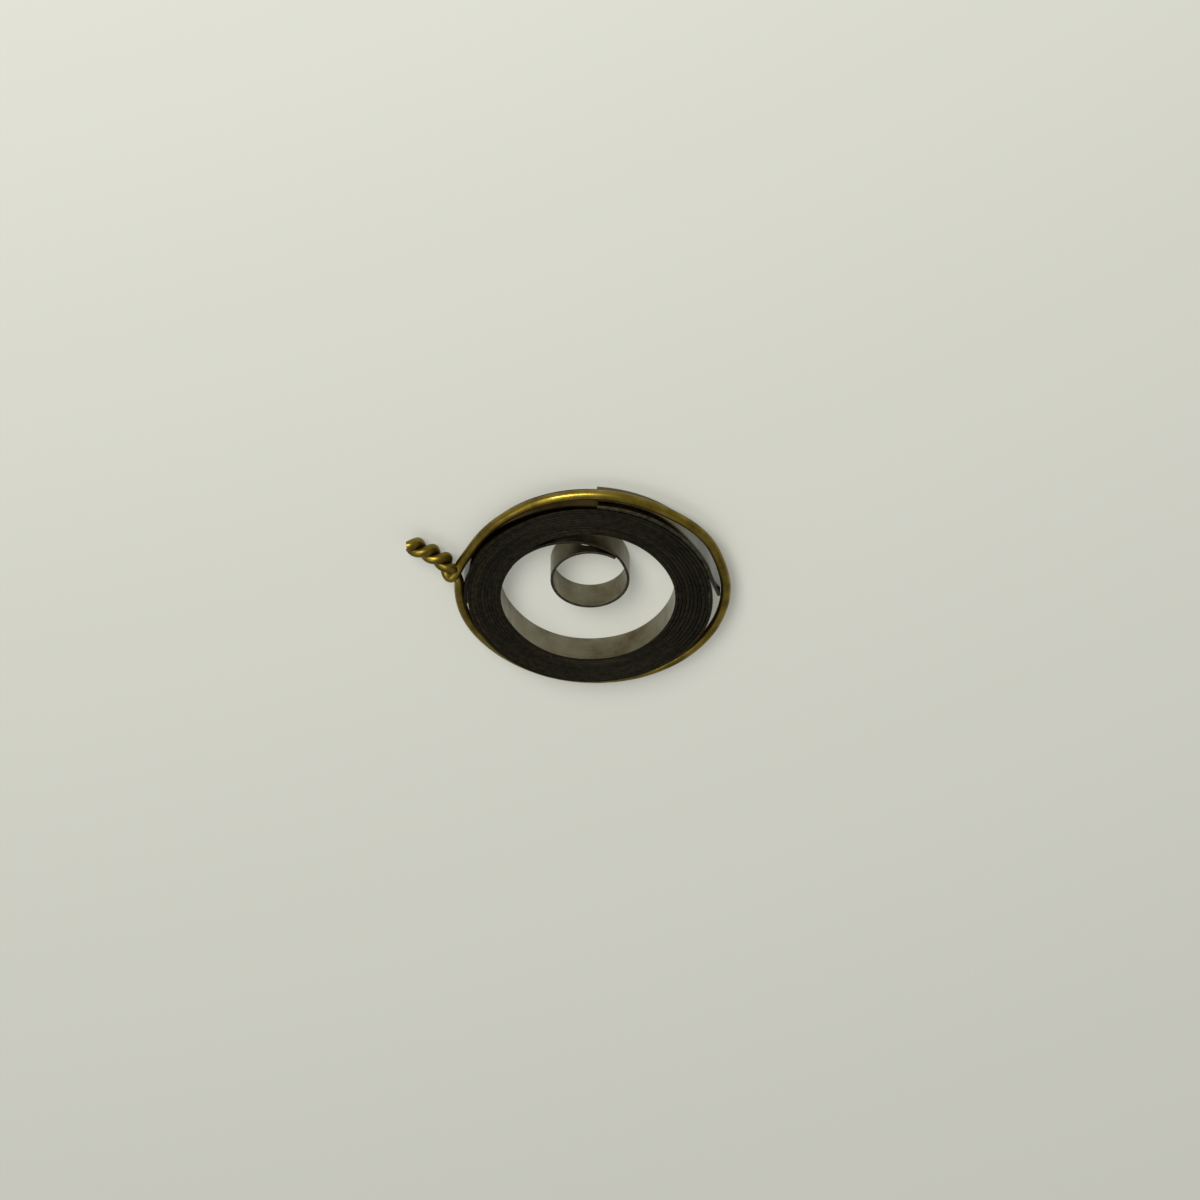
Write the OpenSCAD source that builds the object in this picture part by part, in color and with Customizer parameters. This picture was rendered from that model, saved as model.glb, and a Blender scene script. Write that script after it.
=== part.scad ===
// Mainspring of a pocket watch, wound flat and tied with a twisted brass wire.
// The origin is on the axis of the eye, where the winding arbor goes, and z = 0 is the lower face.
// +Z is the axis of the coil, and seen from there the ribbon runs anticlockwise on its way out.

/* [Ribbon] */
// Width of the steel ribbon, which is the height of the coil
ribbon_w = 2.06; // [1.4:0.02:3]
// Thickness of the ribbon
ribbon_t = 0.19; // [0.12:0.01:0.24]
// Free gap between two turns of the pack
turn_gap = 0.044; // [0.03:0.002:0.08]
// Full turns of ribbon in the pack
turns = 10; // [5:1:13]
// Radius of the hole inside the pack
hole_r = 5.95; // [5.6:0.05:7]
// Direction in which the ribbon's outer end lies, seen from the pack's axis
outer_end_a = 184; // [174:1:188]

/* [Eye] */
// Inner radius of the eye that goes on the winding arbor
eye_r = 2.53; // [2.2:0.01:2.8]
// Place of the eye's axis to the right of the pack's axis
eye_x = 0.14; // [-0.3:0.02:0.4]
// Place of the eye's axis above the pack's axis
eye_y = 1.7; // [1.4:0.05:2]
// Direction in which the inner end of the ribbon lies, seen from the eye's axis
eye_end_a = 50; // [40:1:60]
// Direction in which the ribbon leaves the round of the eye
eye_leave_a = 7; // [3:1:11]
// Length along the ribbon of the hole for the arbor's hook
hook_hole_l = 1.1; // [0.6:0.05:1.4]
// Height of the hole for the arbor's hook
hook_hole_h = 0.8; // [0.4:0.05:1]
// Direction of the hook's hole, seen from the eye's axis
hook_hole_a = 92; // [80:1:130]

/* [Stretch from the eye to the pack] */
// Bending radius of the ribbon where it leaves the eye
lead_r = 4.3; // [3.9:0.1:4.8]
// Bend of the ribbon, in degrees, over the stretch beside the eye
lead_bend = 22; // [16:1:28]
// Heading of the ribbon where its second bend ends
mid_heading = 149; // [142:1:156]
// Direction in which the ribbon joins the pack, seen from the pack's axis
join_a = 150; // [146:1:156]

/* [Tongue] */
// Thickness of the tongue
tongue_t = 0.28; // [0.2:0.01:0.32]
// Width of the tongue
tongue_w = 1.94; // [1.2:0.02:2]
// Direction of the tongue's riveted end, seen from the pack's axis
root_a = 85.5; // [80:0.5:100]
// Direction in which the tongue leaves the pack
knee_a = 18; // [15:1:21]
// Direction of the tongue's free tip
tip_a = -1.5; // [-3:0.5:1]
// Clear space between the tongue and the faces it lies beside
tongue_clear = 0.02; // [0.01:0.005:0.04]

/* [Rivet] */
// Radius of the rivet that holds the tongue
rivet_r = 0.35; // [0.2:0.05:0.5]
// Distance of the rivet from the tongue's riveted end
rivet_inset = 1; // [0.7:0.1:1.6]

/* [Retaining wire] */
// Diameter of the brass wire
wire_d = 0.64; // [0.5:0.01:0.66]
// Height of the wire's middle over the middle of the ribbon's width
wire_lift = 0.14; // [0:0.01:0.3]
// Clear space between the wire and the coil
wire_clear = 0.03; // [0.02:0.005:0.05]
// Distance from the pack to the wire at the right, where the tongue's tip springs out
tip_room = 0.78; // [0.7:0.01:0.9]
// Place of the wire ring's middle above the pack's axis
ring_up = 0.06; // [0:0.01:0.1]
// Direction in which the two ends of the wire come together
twist_a = 174; // [170:1:178]
// Length of the twisted ends, measured outwards from the ring
twist_out = 4.2; // [4:0.1:5]
// Distance that the twisted ends rise along the ring
twist_up = 3.4; // [3:0.1:4.2]
// Length of one full turn of the twist
twist_pitch = 2.2; // [2.15:0.05:2.4]
// Clear space between the two twisted ends
strand_gap = 0.03; // [0.02:0.01:0.06]
// Length by which one end is shorter than the other
short_end = 0.5; // [0.2:0.1:1]

/* [Hidden] */
STEEL_EDGE = "#3b342b";
STEEL_WALL = "#77746a";
BRASS = "#9a7f2e";
ARC_FN = 180;
STEP_A = 4;

// The sizes below are worked out about the axis of the pack, and the part is drawn about the
// axis of the eye, which lies at this place.
eye_c = [eye_x, eye_y];

function u(a) = [cos(a), sin(a)];
function dir(v) = atan2(v[1], v[0]);
function unit(v) = v / norm(v);

// A strip's stretch is [centre, radius, direction where it starts, sweep].
// Half rings about two centres, half a pitch apart, make the wound pack. The list has them
// with the pack's start on the X axis, and the whole pack is turned to join_a.
pitch = ribbon_t + turn_gap;
first_r = hole_r + ribbon_t / 2 + pitch / 4;
half_rings = 2 * turns;
last_r = first_r + half_rings * pitch / 2;
function ring_sweep(k) = k == half_rings ? outer_end_a - join_a : 180;
PACK = [
    for (k = [0:half_rings])
        let (odd = k % 2)
        [[(2 * odd - 1) * pitch / 4, 0], first_r + k * pitch / 2, 180 * odd, ring_sweep(k)]
];
centre_even = -pitch / 4 * u(join_a);
centre_odd = pitch / 4 * u(join_a);

// The wire ring touches the pack at the left and leaves room at the right for the tongue's tip.
side_r = last_r - pitch / 2;
pack_left = last_r + ribbon_t / 2 - centre_even[0];
pack_right = side_r + ribbon_t / 2 + centre_odd[0];
ring_left = pack_left + wire_clear;
ring_right = pack_right + tip_room;
ring_in_r = (ring_left + ring_right) / 2;
ring_c = [(ring_right - ring_left) / 2, ring_up];
wire_r = wire_d / 2;
ring_r = ring_in_r + wire_r;

// The tongue lies on the outside of the pack and springs out from there to its free tip.
tongue_in_r = side_r + ribbon_t / 2 + tongue_clear;
tongue_r = tongue_in_r + tongue_t / 2;
rivet_a = root_a - rivet_inset / tongue_r * 180 / PI;
knee_p = centre_odd + tongue_r * u(knee_a);
tip_p = ring_c + (ring_in_r - tongue_clear - tongue_t / 2) * u(tip_a);
ON_PACK = [centre_odd, tongue_r, knee_a, root_a - knee_a];
flare_v = tip_p - knee_p;
flare_a = dir(flare_v) - (knee_a - 90);
FLARE = [
    knee_p,
    knee_p + norm(flare_v) / 3 * u(knee_a - 90),
    tip_p - norm(flare_v) / 3 * u(knee_a - 90 + 2 * flare_a),
    tip_p
];
flare_steps = 6;
tongue_z = (ribbon_w - tongue_w) / 2;

// The stretch between the eye and the pack has three bends that run into each other.
// The first is given, and the radii of the other two make it end on the pack.
eye_mid_r = eye_r + ribbon_t / 2;
function bend_way(h0, h1) = [sin(h1) - sin(h0), cos(h0) - cos(h1)];
function cross2(a, b) = a[0] * b[1] - a[1] * b[0];
h0 = eye_leave_a + 90;
h1 = h0 + lead_bend;
h2 = mid_heading;
h3 = join_a + 90;
lead_p = eye_c + eye_mid_r * u(eye_leave_a);
second_p = lead_p + lead_r * bend_way(h0, h1);
join_p = centre_even + first_r * u(join_a);
rest_v = join_p - second_p;
way_2 = bend_way(h1, h2);
way_3 = bend_way(h2, h3);
second_r = cross2(rest_v, way_3) / cross2(way_2, way_3);
third_r = cross2(way_2, rest_v) / cross2(way_2, way_3);
third_p = second_p + second_r * way_2;
LINK = [
    [lead_p + lead_r * u(h0 + 90), lead_r, h0 - 90, h1 - h0],
    [second_p + second_r * u(h1 + 90), second_r, h1 - 90, h2 - h1],
    [third_p + third_r * u(h2 + 90), third_r, h2 - 90, h3 - h2]
];
EYE = [eye_c, eye_mid_r, eye_end_a, 360 + eye_leave_a - eye_end_a];

// The wire's two ends leave the ring beside the twist and wind round its route.
wire_z = ribbon_w / 2 + wire_lift;
strand_r = wire_r + strand_gap / 2;
// The tubes are a little thinner than the wire, so that their faces stay inside its round.
tube_r = 0.985 * wire_r;
TUBE_SIDES = 10;
twist_steps = 44;
lead_steps = 9;
upper_off = 15.6;
lower_off = 10.8;
function ring_point(out, up) =
    ring_c + (ring_r + out) * u(twist_a) + up * u(twist_a - 90);
ROUTE = [
    ring_point(0.81, 0.3),
    ring_point(0.99, 0.82),
    ring_point(0.67, 2.14),
    ring_point(twist_out, twist_up)
];
function bezier(p, t) =
    (1 - t) ^ 3 * p[0] + 3 * (1 - t) ^ 2 * t * p[1] + 3 * (1 - t) * t ^ 2 * p[2] + t ^ 3 * p[3];
function bezier_way(p, t) =
    3 * (1 - t) ^ 2 * (p[1] - p[0]) + 6 * (1 - t) * t * (p[2] - p[1])
    + 3 * t ^ 2 * (p[3] - p[2]);
function route_l(t, n = 24) =
    t <= 0 ? 0 : [for (i = [1:n]) norm(bezier_way(ROUTE, t * (i - 0.5) / n)) * t / n]
    * [for (i = [1:n]) 1];
// The twist is left-handed: the strands turn backwards about the route's direction.
function strand_point(t, phase) =
    let (c = bezier(ROUTE, t), n = u(dir(bezier_way(ROUTE, t)) + 90))
    let (a = phase - 360 * route_l(t) / twist_pitch)
    [c[0] + strand_r * cos(a) * n[0], c[1] + strand_r * cos(a) * n[1],
        wire_z + strand_r * sin(a)];
function on_ring(a) =
    [ring_c[0] + ring_r * cos(a), ring_c[1] + ring_r * sin(a), wire_z];
// Each end of the ring runs over a smooth curve into its strand of the twist.
function lead_in(a, way, phase) =
    let (p0 = on_ring(a), p3 = strand_point(0, phase))
    let (d0 = way * [-sin(a), cos(a), 0])
    let (d3 = unit(strand_point(0.01, phase) - p3))
    let (s = norm(p3 - p0))
    [
        p0 - 0.3 * d0,
        for (i = [0:lead_steps])
            bezier([p0, p0 + 0.4 * s * d0, p3 - 0.4 * s * d3, p3], i / (lead_steps + 1))
    ];
function strand(a, way, phase, t_end) = concat(
    lead_in(a, way, phase),
    [for (i = [0:twist_steps]) strand_point(t_end * i / twist_steps, phase)]
);
route_full = route_l(1);
UPPER_STRAND = strand(twist_a - upper_off, 1, 114, 1);
LOWER_STRAND = strand(twist_a + lower_off, -1, 294, 1 - short_end / route_full);

// Least gap of the ribbon to itself, measured on points every 15 degrees of the pack.
PACK_POINTS = [
    for (s = PACK, a = [0:15:165])
        if (a < s[3]) s[0] + s[1] * u(s[2] + a)
];
last_point = len(PACK_POINTS) - 1;
turn_gaps = [
    for (i = [0:last_point - 22], j = [i + 22:min(i + 26, last_point)])
        norm(PACK_POINTS[i] - PACK_POINTS[j]) - ribbon_t
];
strand_gaps = [
    for (p = UPPER_STRAND, q = LOWER_STRAND) norm(p - q) - wire_d
];
// Gap of the eye's inner end to the stretch that passes it, measured on points every degree.
end_corner = eye_c + (eye_r + ribbon_t) * u(eye_end_a);
end_gaps = [
    for (s = LINK, a = [0:1:s[3]])
        norm(s[0] + s[1] * u(s[2] + a) - end_corner) - ribbon_t / 2
];
RIBBON = concat([EYE], LINK, PACK);
ribbon_l = [for (s = RIBBON) s[1] * s[3] * PI / 180] * [for (s = RIBBON) 1];
echo(least_gap_of_ribbon_to_itself = min(turn_gaps));
echo(least_gap_of_twisted_ends = min(strand_gaps));
echo(ribbon_length = ribbon_l, link_radii = [second_r, third_r]);
echo(gap_at_inner_end = min(end_gaps));

// Points along a stretch, each with the direction of the strip's outer side.
function along(s) =
    let (n = ceil(s[3] / STEP_A))
    [
        for (i = [0:n])
            let (a = s[2] + s[3] * i / n)
            [s[0] + s[1] * u(a), u(a)]
    ];
function joined(path) = [
    for (i = [0:len(path) - 1])
        if (i == 0 || norm(path[i][0] - path[i - 1][0]) > 0.001) path[i]
];

// A strip that follows such points as one piece.
module strip(path, w, t, z = 0) {
    p = joined(path);
    translate([0, 0, z])
        linear_extrude(w)
            polygon(concat(
                [for (q = p) q[0] + q[1] * t / 2],
                [for (i = [len(p) - 1:-1:0]) p[i][0] - p[i][1] * t / 2]
            ));
}

// One round stretch of strip: a rectangle turned about the stretch's own centre.
module stretch(s, w, t, z = 0) {
    translate([s[0][0], s[0][1], z])
        rotate([0, 0, s[2]])
            rotate_extrude(angle = s[3], $fn = ARC_FN)
                translate([s[1] - t / 2, 0])
                    square([t, w]);
}

// A tube of flat faces round a list of points.
module tube(points, r) {
    n = len(points);
    ways = [
        for (i = [0:n - 1])
            unit(points[min(i + 1, n - 1)] - points[max(i - 1, 0)])
    ];
    skin = [
        for (i = [0:n - 1])
            let (side = unit(cross([0, 0, 1], ways[i])), up = cross(ways[i], side))
            for (k = [0:TUBE_SIDES - 1])
                let (a = 360 * k / TUBE_SIDES)
                points[i] + r * (cos(a) * side + sin(a) * up)
    ];
    walls = [
        for (i = [0:n - 2], k = [0:TUBE_SIDES - 1])
            let (k1 = (k + 1) % TUBE_SIDES, b = i * TUBE_SIDES)
            each [
                [b + k, b + TUBE_SIDES + k, b + TUBE_SIDES + k1],
                [b + k, b + TUBE_SIDES + k1, b + k1]
            ]
    ];
    cap_0 = [for (k = [0:TUBE_SIDES - 1]) k];
    cap_n = [for (k = [TUBE_SIDES - 1:-1:0]) (n - 1) * TUBE_SIDES + k];
    polyhedron(skin, concat(walls, [cap_0, cap_n]), convexity = 6);
}

// Moves what is drawn about the axis of the pack to its place beside the eye.
module beside_eye() {
    translate([-eye_c[0], -eye_c[1], 0])
        children();
}

module rivet_shank() {
    translate([centre_odd[0], centre_odd[1], ribbon_w / 2])
        rotate([0, 90, rivet_a])
            translate([0, 0, side_r - ribbon_t])
                cylinder(h = 4 * ribbon_t + tongue_t, r = rivet_r, $fn = 48);
}

module wound_pack() {
    color(STEEL_EDGE)
        beside_eye() {
            rotate([0, 0, join_a])
                for (k = [0:half_rings])
                    if (k != half_rings - 1) stretch(PACK[k], ribbon_w, ribbon_t);
            difference() {
                rotate([0, 0, join_a])
                    stretch(PACK[half_rings - 1], ribbon_w, ribbon_t);
                rivet_shank();
            }
        }
}

module eye_link() {
    color(STEEL_WALL)
        beside_eye()
            strip([for (s = LINK) each along(s)], ribbon_w, ribbon_t);
}

module spring_eye() {
    round_r = hook_hole_h / 2;
    color(STEEL_WALL)
        difference() {
            stretch([[0, 0], EYE[1], EYE[2], EYE[3]], ribbon_w, ribbon_t);
            translate([0, 0, ribbon_w / 2])
                rotate([0, 90, hook_hole_a])
                    for (side = [-1, 1])
                        translate([0, side * (hook_hole_l / 2 - round_r), eye_r / 2])
                            cylinder(h = eye_r, r = round_r, $fn = 48);
            translate([0, 0, ribbon_w / 2])
                rotate([0, 0, hook_hole_a])
                    translate([eye_r / 2, round_r - hook_hole_l / 2, -round_r])
                        cube([eye_r, hook_hole_l - 2 * round_r, 2 * round_r]);
        }
}

module tongue() {
    path = concat(
        [
            for (i = [flare_steps:-1:0])
                let (t = i / flare_steps)
                [bezier(FLARE, t), u(dir(bezier_way(FLARE, t)) + 90)]
        ],
        along(ON_PACK)
    );
    color(STEEL_WALL)
        beside_eye()
            difference() {
                strip(path, tongue_w, tongue_t, tongue_z);
                rivet_shank();
            }
}

// The rivet is filed flush with the ribbon inside and with the tongue outside.
module tongue_rivet() {
    inner_r = side_r - ribbon_t / 2;
    outer_r = tongue_in_r + tongue_t;
    seat = [centre_odd, (inner_r + outer_r) / 2, rivet_a - 15, 30];
    color(STEEL_WALL)
        beside_eye()
            intersection() {
                rivet_shank();
                stretch(seat, ribbon_w, outer_r - inner_r);
            }
}

module retaining_wire() {
    color(BRASS)
        beside_eye() {
            translate([ring_c[0], ring_c[1], wire_z])
                rotate([0, 0, twist_a + lower_off])
                    rotate_extrude(angle = 360 - upper_off - lower_off, $fn = ARC_FN)
                        translate([ring_r, 0])
                            circle(r = wire_r, $fn = 40);
            tube(UPPER_STRAND, tube_r);
            tube(LOWER_STRAND, tube_r);
        }
}

wound_pack();
eye_link();
spring_eye();
tongue();
tongue_rivet();
retaining_wire();
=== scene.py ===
import math
import bpy
import numpy as np
from mathutils import Matrix, Vector


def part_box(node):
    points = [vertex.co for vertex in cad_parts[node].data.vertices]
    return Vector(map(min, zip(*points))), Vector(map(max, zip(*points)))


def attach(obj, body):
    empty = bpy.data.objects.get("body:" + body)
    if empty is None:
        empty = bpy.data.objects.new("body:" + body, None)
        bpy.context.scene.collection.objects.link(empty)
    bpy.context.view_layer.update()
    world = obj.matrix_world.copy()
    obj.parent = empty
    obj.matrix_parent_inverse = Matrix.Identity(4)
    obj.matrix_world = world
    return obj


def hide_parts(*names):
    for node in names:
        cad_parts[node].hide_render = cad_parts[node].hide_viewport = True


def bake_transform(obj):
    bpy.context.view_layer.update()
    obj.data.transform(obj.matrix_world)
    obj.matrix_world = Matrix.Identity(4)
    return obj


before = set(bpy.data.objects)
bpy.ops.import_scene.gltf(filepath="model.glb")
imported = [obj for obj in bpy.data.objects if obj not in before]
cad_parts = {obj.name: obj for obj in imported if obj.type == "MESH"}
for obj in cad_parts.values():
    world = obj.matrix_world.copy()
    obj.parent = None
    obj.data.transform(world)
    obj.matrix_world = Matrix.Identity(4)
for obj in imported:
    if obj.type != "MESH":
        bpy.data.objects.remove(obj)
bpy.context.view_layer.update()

# Lengths in the dictionaries are millimetres and angles are degrees. Blender gets metres.
mm = 0.001
scene = bpy.context.scene
scene.view_settings.view_transform = "Standard"


def unit(angle):
    a = np.radians(angle)
    return np.stack([np.cos(a), np.sin(a)], axis=-1)


def direction(v):
    return math.degrees(math.atan2(v[1], v[0]))


def bendWay(before, after):
    return unit(after - 90) - unit(before - 90)


# The ribbon, by the same construction as the frame's: half rings about two centres half a
# pitch apart, then bends that run into each other. An arc is (centre, radius, start, sweep).
ribbon = {
    "thickness": 0.19,
    "turnGap": 0.044,
    "turns": 10,
    "holeRadius": 5.95,
    "joinAngle": 150,         # where the free stretch joins the pack
    "endAngle": 184,          # where its outer end lies
    "corner": 0.022,          # rounding of the slit edges
    "swell": 0.03,            # by which oil and oxide fill the pack's gaps
    "sideWave": 0.003,        # how far a turn strays sideways
    "edgeWave": 0.022,        # how far its edges lie below the highest turn
    "fade": 6,                # length over which these set in at both ends
    "drift": (-0.08, -0.07),  # the innermost turns have slipped aside, the outermost not
    # where the turns lie looser or tighter: (direction, half width, inner and outer turn)
    "looseness": [(341, 32, 0.02, 0.31), (300, 20, 0.08, 0.08), (216, 30, -0.16, -0.03),
                  (162, 20, 0, 0.06), (136, 14, -0.16, 0), (34, 20, -0.07, 0)],
    # lengths from the inner end over which the edges' rubbed brightness fades out and the painted shade
    # of the outermost turn sets in
    "rubbedEdge": (14, 24), "paintedShade": (410, 440),
}
eye = {
    "radius": 2.53,
    "fromPack": (0.14, 1.7),
    "endAngle": 50,
    "endLean": 0.06,          # how far the inner end leans out against the free stretch
    "leanLength": 1.6,
    "leaveAngle": 7,
    "hookLength": 1.1, "hookHeight": 0.8, "hookAngle": 92,
}
low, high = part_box("wound_pack")
width = (high.z - low.z) / mm
thick = ribbon["thickness"]
pitch = thick + ribbon["turnGap"]
join = ribbon["joinAngle"]
packCentre = -np.array(eye["fromPack"])
centreEven = packCentre - pitch / 4 * unit(join)
centreOdd = packCentre + pitch / 4 * unit(join)
firstRadius = ribbon["holeRadius"] + thick / 2 + pitch / 4
halfRings = 2 * ribbon["turns"]
lastRadius = firstRadius + halfRings * pitch / 2
packArcs = [
    (centreOdd if k % 2 else centreEven, firstRadius + k * pitch / 2, join + 180 * (k % 2),
     ribbon["endAngle"] - join if k == halfRings else 180)
    for k in range(halfRings + 1)
]

# The wire's ring, which rests on the pack at the left and leaves room for the tongue
wire = {
    "diameter": 0.7,
    "clear": 0.03,
    "lift": 0.14,             # of its middle over the middle of the ribbon's width
    "tipRoom": 0.78,          # from the pack to the wire at the right
    "ringUp": 0.06,
    # hand-bent: (direction, half width, inwards, down)
    "bends": [(228, 26, 0.15, 0), (255, 40, 0, 0.06), (376, 12, 0.1, 0), (418, 20, 0.2, 0),
              (508, 20, 0.1, 0)],
    "tilt": 0.19,             # it stands higher at the tongue's side
    "sway": 0.03,             # how far it strays outwards, up and down
    "twistAngle": 174,
    # curve of the twist, its points as (outwards from the ring, up along the ring)
    "route": [(0.62, 0.43), (0.78, 0.74), (0.5, 1.66), (4.1, 2.99)],
    "pitch": 2.35, "startTurn": 44,
    "strandGap": -0.01,       # the twisted ends are pressed into each other
    # shares of the twist at which its strands are cut
    "upperEnd": 0.97, "lowerEnd": 0.88,
    # where each strand leaves the ring, and how far it runs straight from there
    "leadOffUpper": 22, "leadOffLower": 5, "straightUpper": 1.9, "straightLower": 0.2,
    # the side cutters' mark at both tips: its length, how far it flattens, widens and shears
    "cutLength": 0.3, "cutFlat": 0.16, "cutWide": 0.03, "cutShear": 0.07,
}
sideRadius = lastRadius - pitch / 2
ringLeft = centreEven[0] - lastRadius - thick / 2 - wire["clear"]
ringRight = centreOdd[0] + sideRadius + thick / 2 + wire["tipRoom"]
ringInner = (ringRight - ringLeft) / 2
ringCentre = np.array([(ringLeft + ringRight) / 2, packCentre[1] + wire["ringUp"]])
ringRadius = ringInner + wire["diameter"] / 2
wireMiddle = width / 2 + wire["lift"]

# The tongue, which lies on the outermost turn and flares out to the ring
tongue = {
    "thickness": 0.28,
    "clear": 0.04,
    "rootAngle": 85.5,        # its riveted end
    "kneeAngle": 16,          # where it leaves the pack
    "tipAngle": -0.4,
    "tipClear": 0.02,         # from its tip to the wire
    "tipThickness": 0.19, "taper": 2.4,
    "tipCorner": 0.12,
    "corner": 0.05,
    "paintedShade": (5, 7.2),    # lengths from its tip over which the painted shade sets in
}
rivet = {"radius": 0.35, "inset": 1.0, "dome": 0.012}
tongueThick = tongue["thickness"]
tongueInner = sideRadius + thick / 2 + tongue["clear"]
tongueRadius = tongueInner + tongueThick / 2
rivetAngle = tongue["rootAngle"] - math.degrees(rivet["inset"] / tongueRadius)
kneeAngle = tongue["kneeAngle"]
kneePoint = centreOdd + tongueRadius * unit(kneeAngle)
tipReach = ringInner - tongue["tipClear"] - tongue["tipThickness"] / 2
tipFrom = ringCentre + tipReach * unit(tongue["tipAngle"]) - kneePoint
flareAngle = direction(tipFrom) - (kneeAngle - 90)
flareRadius = np.linalg.norm(tipFrom) / (2 * math.sin(math.radians(flareAngle)))
tongueArcs = [
    (kneePoint + flareRadius * unit(kneeAngle), flareRadius, kneeAngle + 180 + 2 * flareAngle,
     -2 * flareAngle),
    (centreOdd, tongueRadius, kneeAngle, tongue["rootAngle"] - kneeAngle),
]

eyeMid = eye["radius"] + thick / 2
eyeArcs = [(np.zeros(2), eyeMid, eye["endAngle"], 360 + eye["leaveAngle"] - eye["endAngle"])]

# The free stretch: three bends from the eye to the pack. The radii of the last two follow.
freeStretch = {"leadRadius": 4.3, "leadBend": 22, "midHeading": 149}
headings = [eye["leaveAngle"] + 90, eye["leaveAngle"] + 90 + freeStretch["leadBend"],
            freeStretch["midHeading"], join + 90]
leadPoint = eyeMid * unit(eye["leaveAngle"])
secondPoint = leadPoint + freeStretch["leadRadius"] * bendWay(headings[0], headings[1])
joinPoint = centreEven + firstRadius * unit(join)
twoWays = np.stack([bendWay(headings[1], headings[2]), bendWay(headings[2], headings[3])], axis=1)
secondRadius, thirdRadius = np.linalg.solve(twoWays, joinPoint - secondPoint)
thirdPoint = secondPoint + secondRadius * twoWays[:, 0]
linkArcs = [
    (start - radius * unit(before - 90), radius, before - 90, after - before)
    for start, radius, before, after in zip(
        (leadPoint, secondPoint, thirdPoint),
        (freeStretch["leadRadius"], secondRadius, thirdRadius),
        headings[:3], headings[1:])
]
print("sizes worked out: wire ring", round(ringRadius, 3), "hole", round(firstRadius - thick / 2, 3))


def hexColour(text):
    # sRGB to linear: c / 12.92 near black, else ((c + 0.055) / 1.055) ^ 2.4
    srgb = [int(text[i:i + 2], 16) / 255 for i in (1, 3, 5)]
    return [c / 12.92 if c <= 0.04045 else ((c + 0.055) / 1.055) ** 2.4 for c in srgb] + [1]


def addNode(tree, kind, settings=None, links=None):
    # settings name the node's own properties or its sockets; links give a socket its source
    node = tree.nodes.new("ShaderNode" + kind)
    for name, value in (settings or {}).items():
        if name == "stops":
            ramp = node.color_ramp.elements
            while len(ramp) < len(value):
                ramp.new(0.5)
            for stop, (place, colour) in zip(ramp, value):
                stop.position, stop.color = place, hexColour(colour)
        elif isinstance(name, str) and hasattr(node, name):
            setattr(node, name, value)
        else:
            node.inputs[name].default_value = value
    for name, source in (links or {}).items():
        tree.links.new(source, node.inputs[name])
    return node


def newMaterial(name):
    material = bpy.data.materials.new(name)
    material.use_nodes = True
    material.node_tree.nodes.clear()
    return material, material.node_tree


def slitSteelWall():
    # Hardened and tempered spring steel, polished along its length: satin, with rolling lines
    # that run with the ribbon, a thin brownish film in places, and painted shade on the outermost turn.
    material, tree = newMaterial("temperedSteelPolishedWall")
    strip = addNode(tree, "UVMap", {"uv_map": "strip"})
    lineScale = addNode(tree, "Mapping", {"Scale": (0.12, 26, 1)}, {"Vector": strip.outputs["UV"]})
    lines = addNode(tree, "TexNoise", {"Scale": 1, "Detail": 4, "Roughness": 0.6},
                    {"Vector": lineScale.outputs["Vector"]})
    bandScale = addNode(tree, "Mapping", {"Scale": (0.9, 0.06, 1)}, {"Vector": strip.outputs["UV"]})
    # painted shade: the outermost turn, whose outer wall lies in shade and dark reflections under the
    # wire, is coloured darker brown; it is also made smoother
    run = addNode(tree, "SeparateXYZ", None, {"Vector": strip.outputs["UV"]})
    outside = addNode(tree, "MapRange", {
        "From Min": ribbon["paintedShade"][0], "From Max": ribbon["paintedShade"][1],
        "To Min": 0, "To Max": 1},
        {"Value": run.outputs["X"]})
    bands = addNode(tree, "TexNoise", {"Scale": 1, "Detail": 2}, {"Vector": bandScale.outputs["Vector"]})
    place = addNode(tree, "TexCoord")
    film = addNode(tree, "TexNoise", {"Scale": 1 / (2.6 * mm), "Detail": 5, "Roughness": 0.62},
                   {"Vector": place.outputs["Object"]})
    colour = addNode(tree, "ValToRGB", {"stops": [
        (0.34, "#8c8877"), (0.55, "#78725e"), (0.72, "#62563f")]}, {"Fac": film.outputs["Fac"]})
    lined = addNode(tree, "Mix", {"data_type": "RGBA", "blend_type": "MULTIPLY", 0: 0.45},
                    {6: colour.outputs["Color"]})
    lineTone = addNode(tree, "ValToRGB", {"stops": [(0.3, "#b4b0a8"), (0.62, "#ffffff")]},
                       {"Fac": lines.outputs["Fac"]})
    tree.links.new(lineTone.outputs["Color"], lined.inputs[7])
    paintedShadeColour = addNode(tree, "Mix", {"data_type": "RGBA", "blend_type": "MULTIPLY"},
                      {0: outside.outputs["Result"], 6: lined.outputs[2]})
    # the dark brown of the painted shade, multiplied in on the outermost turn
    paintedShadeColour.inputs[7].default_value = hexColour("#8f7a5e")
    satin = addNode(tree, "MapRange", {"From Min": 0.3, "From Max": 0.7, "To Min": 0.24, "To Max": 0.42},
                    {"Value": bands.outputs["Fac"]})
    smooth = addNode(tree, "MapRange", {"From Min": 0, "From Max": 1, "To Min": 1, "To Max": 0.5},
                     {"Value": outside.outputs["Result"]})
    rough = addNode(tree, "Math", {"operation": "MULTIPLY"},
                    {0: smooth.outputs["Result"], 1: satin.outputs["Result"]})
    bump = addNode(tree, "Bump", {"Strength": 0.25, "Distance": 0.004 * mm},
                   {"Height": lines.outputs["Fac"]})
    swells = addNode(tree, "Bump", {"Strength": 0.3, "Distance": 0.02 * mm},
                     {"Height": bands.outputs["Fac"], "Normal": bump.outputs["Normal"]})
    shader = addNode(tree, "BsdfPrincipled", {"Metallic": 1}, {
        "Base Color": paintedShadeColour.outputs[2], "Roughness": rough.outputs["Value"],
        "Normal": swells.outputs["Normal"]})
    addNode(tree, "OutputMaterial", None, {"Surface": shader.outputs["BSDF"]})
    return material


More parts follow.
